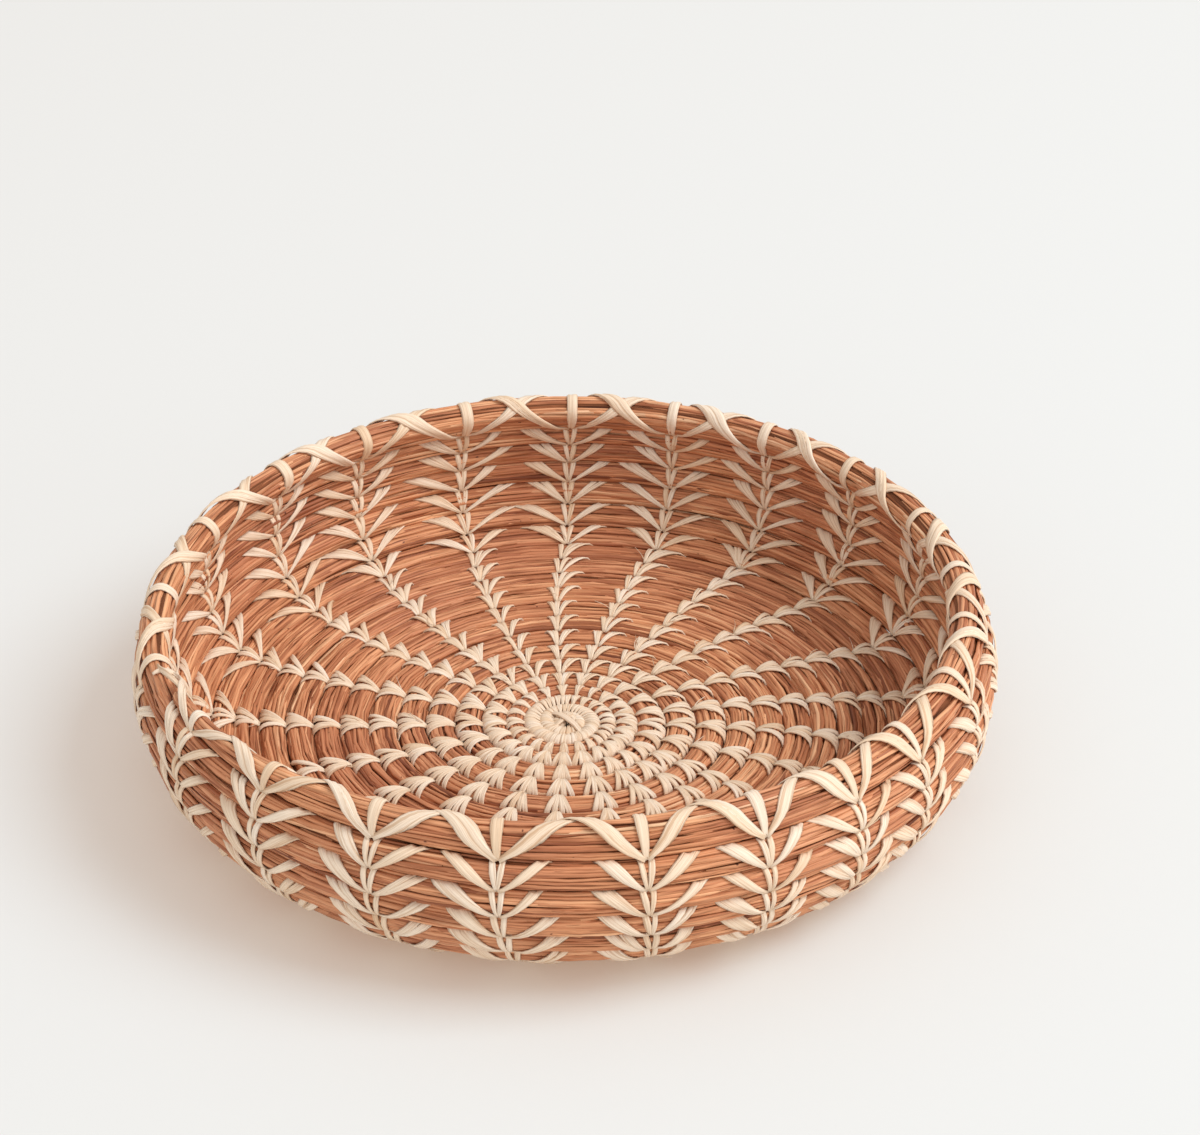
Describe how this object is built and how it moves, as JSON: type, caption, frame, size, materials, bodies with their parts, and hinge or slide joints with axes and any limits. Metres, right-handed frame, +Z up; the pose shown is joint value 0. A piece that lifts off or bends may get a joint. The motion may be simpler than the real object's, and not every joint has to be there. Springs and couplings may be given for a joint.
{
  "type": "coiled bowl basket",
  "caption": "Shallow round basket: a spirally wound needle bundle makes a flat floor, an incurved wall and a thicker rim, tied by radial lines of raffia stitches.",
  "frame": {"origin": "on the surface that the basket stands on, under the middle of its bounding box", "axes": "+Z up through the middle of the bowl; +X to the right and +Y away from the viewer in the picture"},
  "size_m": [0.2412, 0.2409, 0.0543],
  "materials": {
    "needles": "dried orange-brown pine needles laid side by side, satin, with dark gaps between them",
    "raffia_stitch": "natural cream raffia ribbon, fine fibres along each strand, matt to satin",
    "raffia_wrap": "natural cream raffia wound closely round the start of the coil, matt to satin"
  },
  "bodies": {
    "root": {"raffia_start_coil": "raffia_wrap", "needle_coil_floor": "needles", "needle_coil_lower_wall": "needles", "needle_coil_middle_wall": "needles", "needle_coil_upper_wall": "needles", "needle_coil_shoulder": "needles", "needle_coil_rim": "needles", "floor_spoke_01": "raffia_stitch", "wall_fern_01": "raffia_stitch", "floor_spoke_02": "raffia_stitch", "wall_fern_02": "raffia_stitch", "floor_spoke_03": "raffia_stitch", "wall_fern_03": "raffia_stitch", "floor_spoke_04": "raffia_stitch", "wall_fern_04": "raffia_stitch", "floor_spoke_05": "raffia_stitch", "wall_fern_05": "raffia_stitch", "floor_spoke_06": "raffia_stitch", "wall_fern_06": "raffia_stitch", "floor_spoke_07": "raffia_stitch", "wall_fern_07": "raffia_stitch", "floor_spoke_08": "raffia_stitch", "wall_fern_08": "raffia_stitch", "floor_spoke_09": "raffia_stitch", "wall_fern_09": "raffia_stitch", "floor_spoke_10": "raffia_stitch", "wall_fern_10": "raffia_stitch", "floor_spoke_11": "raffia_stitch", "wall_fern_11": "raffia_stitch", "floor_spoke_12": "raffia_stitch", "wall_fern_12": "raffia_stitch", "floor_spoke_13": "raffia_stitch", "wall_fern_13": "raffia_stitch", "floor_spoke_14": "raffia_stitch", "wall_fern_14": "raffia_stitch", "floor_spoke_15": "raffia_stitch", "wall_fern_15": "raffia_stitch", "floor_spoke_16": "raffia_stitch", "wall_fern_16": "raffia_stitch", "floor_spoke_17": "raffia_stitch", "wall_fern_17": "raffia_stitch", "floor_spoke_18": "raffia_stitch", "wall_fern_18": "raffia_stitch", "floor_spoke_19": "raffia_stitch", "wall_fern_19": "raffia_stitch", "floor_spoke_20": "raffia_stitch", "wall_fern_20": "raffia_stitch", "floor_spoke_21": "raffia_stitch", "wall_fern_21": "raffia_stitch", "floor_spoke_22": "raffia_stitch", "wall_fern_22": "raffia_stitch"}
  },
  "joints": []
}
